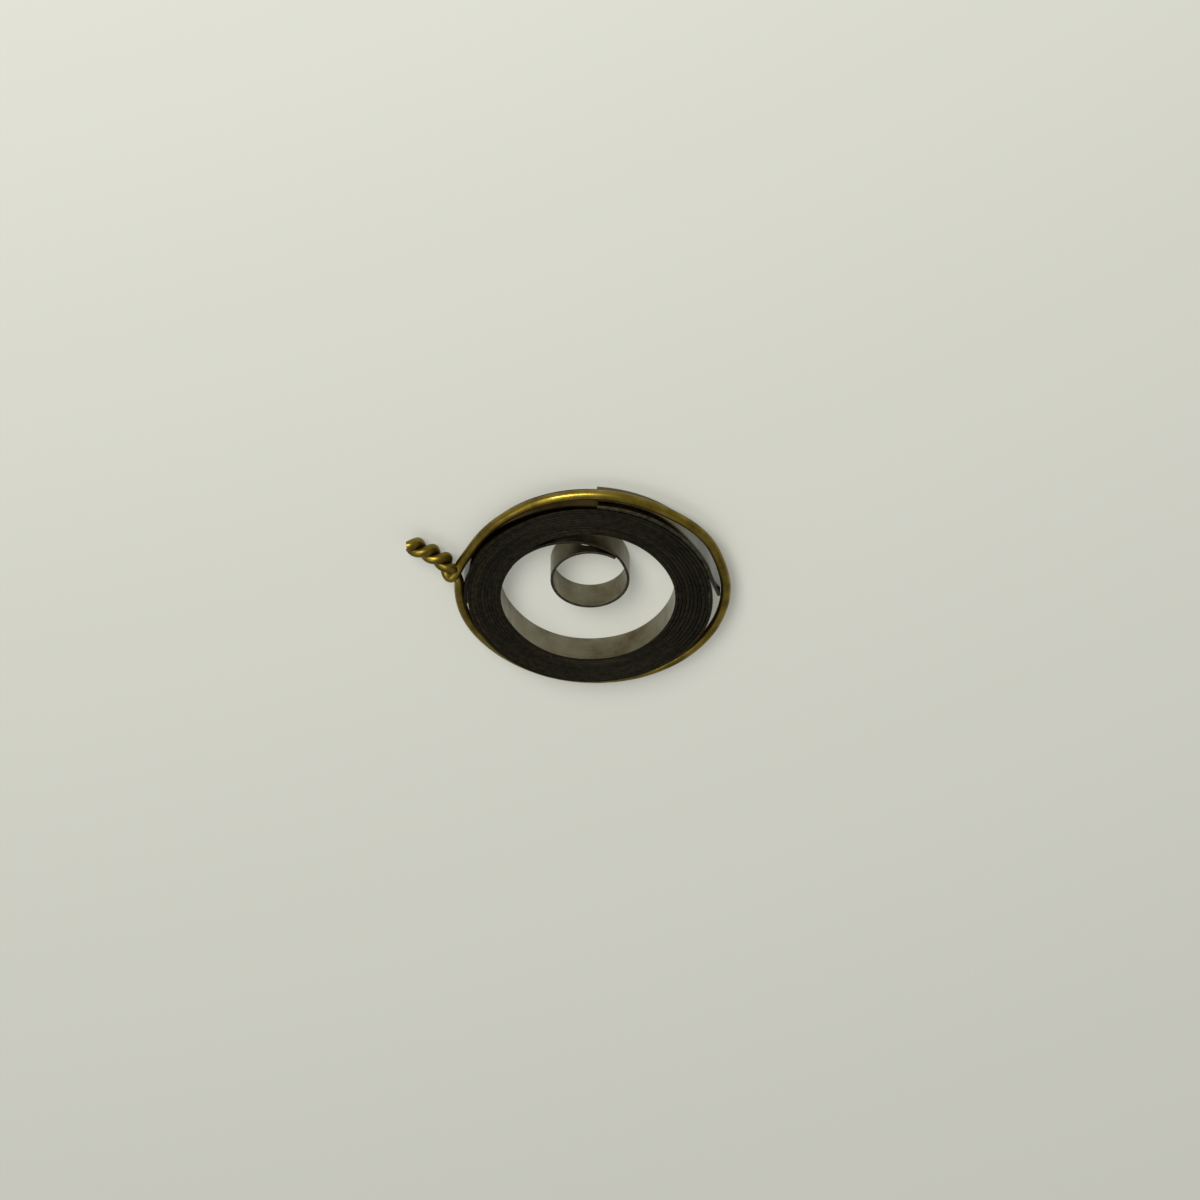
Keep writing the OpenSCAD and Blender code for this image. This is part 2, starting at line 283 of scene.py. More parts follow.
def slitSteelEdge():
    # The slit edge of the same steel, never polished: brown-black oxide and old oil, with
    # brighter lines where it was rubbed.
    material, tree = newMaterial("temperedSteelOxidisedEdge")
    strip = addNode(tree, "UVMap", {"uv_map": "strip"})
    lineScale = addNode(tree, "Mapping", {"Scale": (0.25, 46, 1)}, {"Vector": strip.outputs["UV"]})
    lines = addNode(tree, "TexNoise", {"Scale": 1, "Detail": 3, "Roughness": 0.55},
                    {"Vector": lineScale.outputs["Vector"]})
    turnScale = addNode(tree, "Mapping", {"Scale": (0.07, 0.3, 1)}, {"Vector": strip.outputs["UV"]})
    turns = addNode(tree, "TexNoise", {"Scale": 1, "Detail": 3}, {"Vector": turnScale.outputs["Vector"]})
    place = addNode(tree, "TexCoord")
    grime = addNode(tree, "TexNoise", {"Scale": 1 / (0.35 * mm), "Detail": 4, "Roughness": 0.7},
                    {"Vector": place.outputs["Object"]})
    base = addNode(tree, "ValToRGB", {"stops": [
        (0.32, "#18170b"), (0.5, "#232012"), (0.64, "#302a18"), (0.76, "#3e2f1e")]},
        {"Fac": turns.outputs["Fac"]})
    rubbed = addNode(tree, "ValToRGB", {"stops": [(0.52, "#000000"), (0.74, "#ffffff")]},
                     {"Fac": lines.outputs["Fac"]})
    withLines = addNode(tree, "Mix", {"data_type": "RGBA"}, {
        0: rubbed.outputs["Color"], 6: base.outputs["Color"]})
    withLines.inputs[7].default_value = hexColour("#4a4229")
    # the eye's edges are rubbed brighter than the pack's
    run = addNode(tree, "SeparateXYZ", None, {"Vector": strip.outputs["UV"]})
    near = addNode(tree, "MapRange", {
        "From Min": ribbon["rubbedEdge"][0], "From Max": ribbon["rubbedEdge"][1],
        "To Min": 1, "To Max": 0},
        {"Value": run.outputs["X"]})
    brighter = addNode(tree, "Mix", {"data_type": "RGBA"}, {
        0: near.outputs["Result"], 6: withLines.outputs[2]})
    brighter.inputs[7].default_value = hexColour("#4c4838")
    dirt = addNode(tree, "ValToRGB", {"stops": [(0.36, "#6a6259"), (0.6, "#ffffff")]},
                   {"Fac": grime.outputs["Fac"]})
    colour = addNode(tree, "Mix", {"data_type": "RGBA", "blend_type": "MULTIPLY", 0: 0.8},
                     {6: brighter.outputs[2], 7: dirt.outputs["Color"]})
    rough = addNode(tree, "MapRange", {"From Min": 0.3, "From Max": 0.7, "To Min": 0.36, "To Max": 0.62},
                    {"Value": grime.outputs["Fac"]})
    bump = addNode(tree, "Bump", {"Strength": 0.5, "Distance": 0.006 * mm},
                   {"Height": lines.outputs["Fac"]})
    pits = addNode(tree, "Bump", {"Strength": 0.4, "Distance": 0.008 * mm},
                   {"Height": grime.outputs["Fac"], "Normal": bump.outputs["Normal"]})
    shader = addNode(tree, "BsdfPrincipled", {"Metallic": 0.85}, {
        "Base Color": colour.outputs[2], "Roughness": rough.outputs["Result"],
        "Normal": pits.outputs["Normal"]})
    addNode(tree, "OutputMaterial", None, {"Surface": shader.outputs["BSDF"]})
    return material


def tongueSteel():
    # A stiffer strip of bright rolled steel: neutral grey satin with short grinding marks, and painted
    # shade where it lies under the wire.
    material, tree = newMaterial("rolledSteelGroundTongue")
    strip = addNode(tree, "UVMap", {"uv_map": "strip"})
    markScale = addNode(tree, "Mapping", {"Scale": (0.8, 22, 1)}, {"Vector": strip.outputs["UV"]})
    # painted shade: brown from the listed length back from the tip on, for the shade and the wire's dark
    # reflection where the tongue lies under the wire; the free end keeps the bare grey
    run = addNode(tree, "SeparateXYZ", None, {"Vector": strip.outputs["UV"]})
    paintedShadeMask = addNode(tree, "MapRange", {
        "From Min": tongue["paintedShade"][0], "From Max": tongue["paintedShade"][1],
        "To Min": 0, "To Max": 1},
        {"Value": run.outputs["X"]})
    marks = addNode(tree, "TexNoise", {"Scale": 1, "Detail": 5, "Roughness": 0.65},
                    {"Vector": markScale.outputs["Vector"]})
    colour = addNode(tree, "ValToRGB", {"stops": [(0.3, "#7c807f"), (0.7, "#9c9f9c")]},
                     {"Fac": marks.outputs["Fac"]})
    paintedShadeColour = addNode(tree, "Mix", {"data_type": "RGBA"}, {
        0: paintedShadeMask.outputs["Result"], 6: colour.outputs["Color"]})
    # the brown of the painted shade
    paintedShadeColour.inputs[7].default_value = hexColour("#6f6450")
    rough = addNode(tree, "MapRange", {"From Min": 0.3, "From Max": 0.7, "To Min": 0.14, "To Max": 0.26},
                    {"Value": marks.outputs["Fac"]})
    bump = addNode(tree, "Bump", {"Strength": 0.35, "Distance": 0.004 * mm},
                   {"Height": marks.outputs["Fac"]})
    shader = addNode(tree, "BsdfPrincipled", {"Metallic": 1}, {
        "Base Color": paintedShadeColour.outputs[2], "Roughness": rough.outputs["Result"],
        "Normal": bump.outputs["Normal"]})
    addNode(tree, "OutputMaterial", None, {"Surface": shader.outputs["BSDF"]})
    return material


def rivetSteel():
    # A soft steel rivet, hammered over and filed flush: dull, with crossing file marks.
    material, tree = newMaterial("softSteelFiledRivet")
    place = addNode(tree, "TexCoord")
    fileScale = addNode(tree, "Mapping", {
        "Rotation": (0.4, 0.2, 0.9), "Scale": (1 / (0.03 * mm), 1 / (0.6 * mm), 1 / (0.6 * mm))},
        {"Vector": place.outputs["Object"]})
    marks = addNode(tree, "TexNoise", {"Scale": 1, "Detail": 3}, {"Vector": fileScale.outputs["Vector"]})
    colour = addNode(tree, "ValToRGB", {"stops": [(0.3, "#453c2e"), (0.7, "#524734")]},
                     {"Fac": marks.outputs["Fac"]})
    bump = addNode(tree, "Bump", {"Strength": 0.4, "Distance": 0.005 * mm},
                   {"Height": marks.outputs["Fac"]})
    shader = addNode(tree, "BsdfPrincipled", {"Metallic": 1, "Roughness": 0.45}, {
        "Base Color": colour.outputs["Color"], "Normal": bump.outputs["Normal"]})
    addNode(tree, "OutputMaterial", None, {"Surface": shader.outputs["BSDF"]})
    return material


def agedBrass():
    # Drawn brass wire, handled and aged: olive gold, browner where it tarnished, with
    # drawing lines along it.
    material, tree = newMaterial("drawnBrassAged")
    strip = addNode(tree, "UVMap", {"uv_map": "strip"})
    lineScale = addNode(tree, "Mapping", {"Scale": (0.15, 14, 1)}, {"Vector": strip.outputs["UV"]})
    lines = addNode(tree, "TexNoise", {"Scale": 1, "Detail": 4, "Roughness": 0.6},
                    {"Vector": lineScale.outputs["Vector"]})
    place = addNode(tree, "TexCoord")
    tarnish = addNode(tree, "TexNoise", {"Scale": 1 / (1.6 * mm), "Detail": 6, "Roughness": 0.6},
                      {"Vector": place.outputs["Object"]})
    colour = addNode(tree, "ValToRGB", {"stops": [
        (0.3, "#5a4b1c"), (0.47, "#7c6a28"), (0.66, "#98853c")]}, {"Fac": tarnish.outputs["Fac"]})
    lineTone = addNode(tree, "ValToRGB", {"stops": [(0.32, "#a89a7c"), (0.6, "#ffffff")]},
                       {"Fac": lines.outputs["Fac"]})
    lined = addNode(tree, "Mix", {"data_type": "RGBA", "blend_type": "MULTIPLY", 0: 0.4},
                    {6: colour.outputs["Color"], 7: lineTone.outputs["Color"]})
    rough = addNode(tree, "MapRange", {"From Min": 0.3, "From Max": 0.7, "To Min": 0.44, "To Max": 0.26},
                    {"Value": tarnish.outputs["Fac"]})
    bump = addNode(tree, "Bump", {"Strength": 0.3, "Distance": 0.006 * mm},
                   {"Height": lines.outputs["Fac"]})
    shader = addNode(tree, "BsdfPrincipled", {"Metallic": 1}, {
        "Base Color": lined.outputs[2], "Roughness": rough.outputs["Result"],
        "Normal": bump.outputs["Normal"]})
    addNode(tree, "OutputMaterial", None, {"Surface": shader.outputs["BSDF"]})
    return material


wallSteel, edgeSteel = slitSteelWall(), slitSteelEdge()
print("materials made")


def followArcs(arcs, step=0.5):
    # centre + radius * (cos a, sin a) along each arc in turn; the side of the path is its
    # direction turned by a right angle to the right, which is outwards
    pieces = []
    for centre, radius, start, sweep in arcs:
        count = max(3, math.ceil(abs(sweep) / step) + 1)
        pieces.append(centre + radius * unit(np.linspace(start, start + sweep, count)))
    points = np.concatenate(pieces)
    gaps = np.linalg.norm(np.diff(points, axis=0), axis=1)
    points = points[np.concatenate([[True], gaps > 1e-4])]
    way = np.gradient(points, axis=0)
    way /= np.linalg.norm(way, axis=1, keepdims=True)
    side = np.stack([way[:, 1], -way[:, 0]], axis=1)
    run = np.concatenate([[0], np.cumsum(np.linalg.norm(np.diff(points, axis=0), axis=1))])
    return {"points": points, "side": side, "run": run, "length": run[-1]}


def flatStrip(length, across, corner, step, roundStart=False, roundEnd=False, hole=None):
    # The strip laid flat, as a grid of (along, across) whose lines crowd at a rounded rim.
    # A hole is (along, across, half straight length, radius): round it the grid is a fan of
    # rays from the slot's rim to a rectangle of the main grid.
    rim = corner * np.array([0, 0.06, 0.24, 0.55, 1, 1.35])
    cells = []
    if hole is None:
        along = np.linspace(0, length, max(2, math.ceil(length / step)) + 1)
        crossing = np.linspace(rim[-1], across - rim[-1], 4)[1:-1]
    else:
        holeAlong, holeAcross, straight, radius = hole
        margin = 0.22
        reach = np.array([straight + radius + margin, radius + margin])
        counts = (14, 10) if straight else (8, 6)
        patchAlong = holeAlong + np.linspace(-reach[0], reach[0], counts[0] + 1)
        crossing = holeAcross + np.linspace(-reach[1], reach[1], counts[1] + 1)
        along = np.concatenate([
            np.linspace(0, patchAlong[0], math.ceil(patchAlong[0] / step) + 1)[:-1], patchAlong,
            np.linspace(patchAlong[-1], length, math.ceil((length - patchAlong[-1]) / step) + 1)[1:]])
    if roundStart:
        along = np.concatenate([rim, along[along > rim[-1] * 1.2]])
    if roundEnd:
        along = np.concatenate([along[along < length - rim[-1] * 1.2], length - rim[::-1]])
    lines = np.concatenate([rim, crossing, across - rim[::-1]])
    gridAlong, gridAcross = np.meshgrid(along, lines, indexing="ij")
    depth = np.minimum(gridAcross, across - gridAcross)
    if roundStart:
        depth = np.minimum(depth, gridAlong)
    if roundEnd:
        depth = np.minimum(depth, length - gridAlong)
    flat = np.stack([gridAlong, gridAcross, depth], axis=-1).reshape(-1, 3)
    index = np.arange(len(flat)).reshape(gridAlong.shape)
    quads = np.stack([index[:-1, :-1], index[1:, :-1], index[1:, 1:], index[:-1, 1:]], axis=-1)
    if hole is None:
        cells.append(quads.reshape(-1, 4))
    else:
        middle = (gridAlong[:-1, :-1] + gridAlong[1:, 1:]) / 2 - holeAlong
        middleAcross = (gridAcross[:-1, :-1] + gridAcross[1:, 1:]) / 2 - holeAcross
        outside = (np.abs(middle) > reach[0]) | (np.abs(middleAcross) > reach[1])
        cells.append(quads[outside])
        top = np.stack([patchAlong - holeAlong, np.full(counts[0] + 1, reach[1])], axis=1)
        right = np.stack([np.full(counts[1] + 1, reach[0]), crossing - holeAcross], axis=1)
        frameLoop = np.concatenate([(top * (1, -1))[:-1], right[:-1], top[::-1][:-1],
                                    (right * (-1, 1))[::-1][:-1]])
        spine = np.stack([frameLoop[:, 0] / reach[0] * straight, np.zeros(len(frameLoop))], axis=1)
        rays = frameLoop - spine
        far = np.linalg.norm(rays, axis=1, keepdims=True)
        rays = rays / far
        steps = np.concatenate([radius + np.tile(rim, (len(far), 1)),
                                (radius + rim[-1] + far) / 2, far], axis=1)
        fan = spine[:, None] + rays[:, None] * steps[..., None]
        fanDepth = np.where(steps < radius + corner * 1.4, steps - radius, corner * 2)
        fanFlat = np.concatenate([fan + (holeAlong, holeAcross), fanDepth[..., None]], axis=-1)
        ids = len(flat) + np.arange(steps.size).reshape(steps.shape)
        nextIds = np.roll(ids, -1, axis=0)
        fanQuads = np.stack([ids[:, :-1], ids[:, 1:], nextIds[:, 1:], nextIds[:, :-1]], axis=-1)
        cells.append(fanQuads.reshape(-1, 4))
        flat = np.concatenate([flat, fanFlat.reshape(-1, 3)])
    quads = np.concatenate(cells)
    _, first, where = np.unique(np.round(flat[:, :2], 5), axis=0, return_index=True,
                                   return_inverse=True)
    return flat[first], where.reshape(-1)[quads]


def meshObject(name, vertices, faces, uv, slots, materials):
    # vertices in mm; faces is a list of index arrays of one size each; uv follows the loops
    mesh = bpy.data.meshes.new(name)
    sizes = np.concatenate([np.full(len(f), f.shape[1]) for f in faces])
    loops = np.concatenate([f.reshape(-1) for f in faces])
    mesh.vertices.add(len(vertices))
    mesh.vertices.foreach_set("co", (np.asarray(vertices) * mm).astype(np.float32).ravel())
    mesh.loops.add(len(loops))
    mesh.loops.foreach_set("vertex_index", loops.astype(np.int32))
    mesh.polygons.add(len(sizes))
    starts = np.concatenate([[0], np.cumsum(sizes)[:-1]])
    mesh.polygons.foreach_set("loop_start", starts.astype(np.int32))
    mesh.polygons.foreach_set("loop_total", sizes.astype(np.int32))
    for material in materials:
        mesh.materials.append(material)
    mesh.polygons.foreach_set("material_index", np.asarray(slots, dtype=np.int32))
    mesh.polygons.foreach_set("use_smooth", np.ones(len(sizes), dtype=bool))
    layer = mesh.uv_layers.new(name="strip")
    layer.data.foreach_set("uv", np.asarray(uv, dtype=np.float32).ravel())
    mesh.update(calc_edges=True)
    mesh.validate()
    mesh.set_sharp_from_angle(angle=math.radians(55))
    piece = bpy.data.objects.new(name, mesh)
    scene.collection.objects.link(piece)
    return piece


def stripPiece(name, arcs, materials, thickness=thick, across=width, corner=ribbon["corner"],
               bottom=0.0, runStart=0.0, step=0.3, drift=None, sideShift=None, topShift=None,
               bottomShift=None, thinning=None, tipCorner=0.0, **ends):
    # The flat strip bent along its path: point + side * half thickness, where the half
    # thickness falls to the rim as a quarter circle: t/2 - c + sqrt(c^2 - (c - depth)^2).
    path = followArcs(arcs)
    flat, quads = flatStrip(path["length"], across, corner, step, **ends)
    along, height, depth = flat[:, 0], flat[:, 1], np.minimum(flat[:, 2], corner)
    half = thickness / 2 - corner + np.sqrt(np.maximum(corner ** 2 - (corner - depth) ** 2, 0))
    point = np.stack([np.interp(along, path["run"], path["points"][:, k]) for k in (0, 1)], axis=1)
    side = np.stack([np.interp(along, path["run"], path["side"][:, k]) for k in (0, 1)], axis=1)
    side /= np.linalg.norm(side, axis=1, keepdims=True)
    if thinning is not None:
        half = half * thinning(along)
    if sideShift is not None:
        point = point + side * sideShift(along)[:, None]
    if drift is not None:
        point = point + drift(along)[:, None] * ribbon["drift"]
    share = height / across
    z = bottom + height
    if topShift is not None:
        z = z - share * topShift(along) + (1 - share) * bottomShift(along)
    if tipCorner:
        # the tip's corners are rounded in the plane of the strip, as a quarter circle each
        back = np.clip(tipCorner - along, 0, tipCorner)
        drawIn = tipCorner - np.sqrt(np.maximum(tipCorner ** 2 - back ** 2, 0))
        z = bottom + across / 2 + (z - bottom - across / 2) * (1 - 2 * drawIn / across)
    outer = np.column_stack([point + side * half[:, None], z])
    inner = np.column_stack([point - side * half[:, None], z])
    count = len(outer)
    edges = np.stack([quads, np.roll(quads, -1, axis=1)], axis=-1).reshape(-1, 2)
    forward = edges[:, 0].astype(np.int64) * count + edges[:, 1]
    backward = edges[:, 1].astype(np.int64) * count + edges[:, 0]
    rimEdges = edges[~np.isin(forward, backward)]
    walls = np.stack([rimEdges[:, 1], rimEdges[:, 0], rimEdges[:, 0] + count, rimEdges[:, 1] + count],
                     axis=1)
    faces = np.concatenate([quads, quads[:, ::-1] + count, walls])
    doubled = np.concatenate([flat, flat])
    uv = doubled[faces][..., :2] + (runStart, 0)
    # the edge's own face unrolls beside the wall, so that its lines don't repeat
    lift = np.where(faces[-len(walls):] >= count, thickness, 0.0)
    uv[-len(walls):, :, 1] += np.where(uv[-len(walls):, :, 1] > across / 2, lift, -lift)
    onEdge = doubled[faces][..., 2].mean(axis=1) < corner * 0.8
    onEdge[-len(walls):] = True
    return meshObject(name, np.concatenate([outer, inner]), [faces], uv.reshape(-1, 2),
                      onEdge.astype(int), materials)


def waves(seed, count, shortest, longest):
    # a sum of sines of seeded lengths and phases, scaled to lie within -1 and 1
    rng = np.random.default_rng(seed)
    lengths = np.exp(rng.uniform(math.log(shortest), math.log(longest), count))
    phases = rng.uniform(0, 2 * math.pi, count)
    shares = rng.uniform(0.5, 1, count)
    return lambda s: ((np.sin(2 * math.pi * s[:, None] / lengths + phases) * shares).sum(axis=1)
                      / shares.sum())


def fadeIn(s):
    return np.clip(s / ribbon["fade"], 0, 1)


def fadeEnds(shift):
    return lambda s: shift(s) * fadeIn(s) * fadeIn(packLength - s)


def looseTurns(s):
    # sum of (inner + (outer - inner) * s / length) * exp(-(da / width)^2) over the list, where
    # da is how far the place's direction lies from the listed one
    along = np.clip(s / packLength, 0, 1)
    turned = (join + np.interp(s, packRun, packTurn)) % 360
    shift = np.zeros_like(s)
    for place, wide, inner, outer in ribbon["looseness"]:
        apart = (turned - place + 180) % 360 - 180
        shift += (inner + (outer - inner) * along) * np.exp(-(apart / wide) ** 2)
    return shift


# The pack: every turn strays a little to the side and in height. The gaps stay open, but for
# the first few millimetres, which press up to 0.04 mm into the second turn.
packRun = np.concatenate([[0], np.cumsum([
    radius * math.radians(sweep) for _, radius, _, sweep in packArcs])])
packTurn = np.concatenate([[0], np.cumsum([sweep for _, _, _, sweep in packArcs])])
packLength = followArcs(packArcs)["length"]
eyeLength = followArcs(eyeArcs)["length"]
linkLength = followArcs(linkArcs)["length"]
strayed, settled, lifted = waves(11, 9, 7, 40), waves(12, 9, 5, 60), waves(13, 9, 5, 60)
lastTurnAt = packLength - math.radians(ribbon["endAngle"] - join) * lastRadius
rivetAt = lastTurnAt - math.radians(join - rivetAngle) * sideRadius
pack = stripPiece(
    "woundPack", packArcs, [wallSteel, edgeSteel], step=0.32, runStart=eyeLength + linkLength,
    thickness=thick + ribbon["swell"],
    roundEnd=True, hole=(rivetAt, width / 2, 0.0, rivet["radius"]),
    drift=lambda s: 1 - s / packLength,
    sideShift=lambda s: (fadeEnds(lambda r: ribbon["sideWave"] * strayed(r))(s)
                         + looseTurns(s) * fadeIn(s)),
    topShift=fadeEnds(lambda s: ribbon["edgeWave"] * (0.5 + 0.5 * settled(s))),
    bottomShift=fadeEnds(lambda s: ribbon["edgeWave"] * (0.5 + 0.5 * lifted(s))))
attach(pack, "coil")
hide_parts("wound_pack")
print("pack made:", len(pack.data.polygons), "faces")

link = stripPiece("freeStretch", linkArcs, [wallSteel, edgeSteel], step=0.12, runStart=eyeLength,
                  drift=lambda s: (s / linkLength) ** 2 * (3 - 2 * s / linkLength))
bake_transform(link)
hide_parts("eye_link")

hookAt = math.radians(eye["hookAngle"] - eye["endAngle"]) * eyeMid
hookRadius = eye["hookHeight"] / 2
eyeRound = stripPiece(
    "eyeRound", eyeArcs, [wallSteel, edgeSteel], step=0.12, roundStart=True,
    hole=(hookAt, width / 2, eye["hookLength"] / 2 - hookRadius, hookRadius),
    sideShift=lambda s: eye["endLean"] * np.clip(1 - s / eye["leanLength"], 0, 1) ** 2)
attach(eyeRound, "eye")
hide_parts("spring_eye")

tongueLow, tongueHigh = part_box("tongue")
tongueWidth = (tongueHigh.z - tongueLow.z) / mm
tongueLength = followArcs(tongueArcs)["length"]
flareLength = followArcs(tongueArcs[:1])["length"]


def onLooseTurn(s):
    # the tongue lies on the outermost turn and goes out with it; the shift fades to the tip
    behind = lastTurnAt - math.radians(join - kneeAngle) * sideRadius
    return looseTurns(behind + np.maximum(s - flareLength, 0)) * np.clip(s / flareLength, 0, 1)


def thinTip(s):
    # the share of the thickness grows evenly from the tip's to 1 over the taper
    return 1 - (1 - tongue["tipThickness"] / tongueThick) * np.clip(1 - s / tongue["taper"], 0, 1)


tonguePiece = stripPiece(
    "endTongue", tongueArcs, [tongueSteel(), edgeSteel], thickness=tongueThick, across=tongueWidth,
    corner=tongue["corner"], bottom=tongueLow.z / mm, step=0.2, tipCorner=tongue["tipCorner"],
    roundStart=True, roundEnd=True, sideShift=onLooseTurn, thinning=thinTip,
    hole=(tongueLength - rivet["inset"], tongueWidth / 2, 0.0, rivet["radius"]))
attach(tonguePiece, "coil")
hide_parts("tongue")
print("ribbon and tongue made")


def rivetPiece():
    # A round plug whose two faces follow the walls and swell by dome * (1 - (r/R)^2)
    sides, rings = 40, 6
    share = np.linspace(0, 1, rings + 1)[1:]
    turn = np.linspace(0, 2 * math.pi, sides, endpoint=False)
    across = np.concatenate([[0], np.outer(share, np.cos(turn)).ravel()]) * rivet["radius"]
    height = np.concatenate([[0], np.outer(share, np.sin(turn)).ravel()]) * rivet["radius"]
    swell = rivet["dome"] * (1 - (across ** 2 + height ** 2) / rivet["radius"] ** 2)
    out, along = unit(rivetAngle), unit(rivetAngle + 90)
    skins = []
    for radius, sign in ((tongueInner + tongueThick, 1), (sideRadius - thick / 2, -1)):
        reach = np.sqrt(radius ** 2 - across ** 2) + sign * (swell - rivet["dome"])
        flat = centreOdd + reach[:, None] * out + across[:, None] * along
        skins.append(np.column_stack([flat, width / 2 + height]))
    ids = 1 + np.arange(rings * sides).reshape(rings, sides)
    after = np.roll(ids, -1, axis=1)
    count = rings * sides + 1
    fans = np.stack([np.zeros(sides, int), ids[0], after[0]], axis=1)
    bands = np.stack([ids[:-1], ids[1:], after[1:], after[:-1]], axis=-1).reshape(-1, 4)
    wall = np.stack([ids[-1], ids[-1] + count, after[-1] + count, after[-1]], axis=1)
    triangles = np.concatenate([fans, fans[:, ::-1] + count])
    quads = np.concatenate([bands, bands[:, ::-1] + count, wall])
    loops = np.concatenate([triangles.ravel(), quads.ravel()])
    places = np.concatenate([across, across]), np.concatenate([height, height])
    uv = np.stack([places[0][loops], places[1][loops]], axis=1)
    return meshObject("tongueRivet", np.concatenate(skins), [triangles, quads], uv,
                      np.zeros(len(triangles) + len(quads)), [rivetSteel()])


rivetHead = rivetPiece()
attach(rivetHead, "coil")
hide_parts("tongue_rivet")


def bezier(p, t):
    t = np.asarray(t)[:, None]
    return (1 - t) ** 3 * p[0] + 3 * (1 - t) ** 2 * t * p[1] + 3 * (1 - t) * t ** 2 * p[2] + t ** 3 * p[3]


def ringPoint(outwards, up):
    angle = wire["twistAngle"]
    return ringCentre + (ringRadius + outwards) * unit(angle) + up * unit(angle - 90)


def strand(phase, share, count=150):
    # left-handed helix round the twist's route: route + r * (cos a * normal, sin a),
    # where a falls by a full turn for each pitch of the route's length
    t = np.linspace(0, 1, 600)
    route = bezier([ringPoint(*spot) for spot in wire["route"]], t)
    run = np.concatenate([[0], np.cumsum(np.linalg.norm(np.diff(route, axis=0), axis=1))])
    way = np.gradient(route, axis=0)
    way /= np.linalg.norm(way, axis=1, keepdims=True)
    at = np.linspace(0, share, count) * run[-1]
    spot = np.stack([np.interp(at, run, route[:, k]) for k in (0, 1)], axis=1)
    normal = np.stack([-np.interp(at, run, way[:, 1]), np.interp(at, run, way[:, 0])], axis=1)
    a = np.radians(phase - 360 * at / wire["pitch"])
    radius = wire["diameter"] / 2 + wire["strandGap"] / 2
    return np.column_stack([spot + radius * np.cos(a)[:, None] * normal,
                            wireMiddle + radius * np.sin(a)])


def leadIn(angle, turnWay, helix, straight, count=36):
    # straight on from the ring along its tangent, then a tight curve into the strand
    start = ringSpot(np.array([angle]))[0]
    away = turnWay * np.append(unit(angle + 90), 0)
    into = helix[1] - helix[0]
    into /= np.linalg.norm(into)
    knee = start + straight * away
    apart = np.linalg.norm(helix[0] - knee)
    curve = bezier([knee, knee + 0.45 * apart * away, helix[0] - 0.36 * apart * into, helix[0]],
                   np.linspace(0, 1, count))
    run = start + np.linspace(0, straight, 12)[1:-1, None] * away
    return np.concatenate([run, curve[:-1]])


def ringSpot(angles):
    # the hand-bent ring: a circle with a little sway and lift, the listed bends and the tilt
    shares = np.clip((angles - ringFirst) / (ringLast - ringFirst), 0, 1)
    middle = np.sin(math.pi * shares)
    outwards = wire["sway"] * middle ** 0.5 * (0.5 + 0.5 * waves(21, 5, 40, 200)(angles))
    lift = wire["sway"] * middle * waves(22, 5, 60, 240)(angles)
    lift += wire["tilt"] * np.sin(np.radians(angles)) * np.clip(middle * 4, 0, 1)
    for place, wide, inwards, down in wire["bends"]:
        near = np.exp(-((angles - place) / wide) ** 2)
        outwards -= inwards * near
        lift -= down * near
    return np.column_stack([ringCentre + (ringRadius + outwards)[:, None] * unit(angles),
                            wireMiddle + lift])


ringFirst = wire["twistAngle"] + wire["leadOffLower"]
ringLast = wire["twistAngle"] - wire["leadOffUpper"] + 360


def wirePath():
    # one unbroken wire: the lower strand from its tip, once round the coil, the upper strand
    upper = strand(wire["startTurn"], wire["upperEnd"])
    lower = strand(wire["startTurn"] + 180, wire["lowerEnd"])
    ring = ringSpot(np.arange(ringFirst, ringLast + 0.01, 1.2))
    return np.concatenate([lower[::-1], leadIn(ringFirst, -1, lower, wire["straightLower"])[::-1], ring,
                           leadIn(ringLast, 1, upper, wire["straightUpper"]), upper])


def tubePiece(name, points, radius, sides, material):
    # a ring of sides round every point of the path: point + r (cos v * across + sin v * up);
    # near both tips the ring is pinched flat and sheared, as side cutters leave it
    way = np.gradient(points, axis=0)
    way /= np.linalg.norm(way, axis=1, keepdims=True)
    across = np.cross([0, 0, 1], way)
    across /= np.linalg.norm(across, axis=1, keepdims=True)
    up = np.cross(way, across)
    run = np.concatenate([[0], np.cumsum(np.linalg.norm(np.diff(points, axis=0), axis=1))])
    fromTip = np.minimum(run, run[-1] - run)
    pinch = np.clip(1 - fromTip / wire["cutLength"], 0, 1) ** 1.5
    shear = np.where(run < run[-1] / 2, -1, 1) * pinch * wire["cutShear"]
    v = np.linspace(0, 2 * math.pi, sides, endpoint=False)
    wide = radius * (1 + wire["cutWide"] * pinch)[:, None] * np.cos(v)
    tall = radius * (1 - wire["cutFlat"] * pinch)[:, None] * np.sin(v)
    skin = (points[:, None] + wide[..., None] * across[:, None] + tall[..., None] * up[:, None]
            + (shear[:, None] * np.cos(v))[..., None] * way[:, None])
    ids = np.arange(skin.shape[0] * sides).reshape(skin.shape[:2])
    after = np.roll(ids, -1, axis=1)
    quads = np.stack([ids[:-1], ids[1:], after[1:], after[:-1]], axis=-1).reshape(-1, 4)
    quads = quads[:, ::-1]
    caps = np.stack([ids[0], ids[-1][::-1]])
    around = np.linspace(0, 2 * math.pi * radius, sides + 1)
    corner = np.stack([run[:-1, None] + 0 * v, run[1:, None] + 0 * v, run[1:, None] + 0 * v,
                       run[:-1, None] + 0 * v], axis=-1)
    turn = np.stack([around[:-1] + 0 * run[:-1, None], around[:-1] + 0 * run[:-1, None],
                     around[1:] + 0 * run[:-1, None], around[1:] + 0 * run[:-1, None]], axis=-1)
    uv = np.stack([corner, turn], axis=-1).reshape(-1, 4, 2)[:, ::-1].reshape(-1, 2)
    capUv = np.tile(np.stack([radius * np.cos(v), radius * np.sin(v)], axis=1), (2, 1))
    return meshObject(name, skin.reshape(-1, 3), [quads, caps], np.concatenate([uv, capUv]),
                      np.zeros(len(quads) + 2), [material])


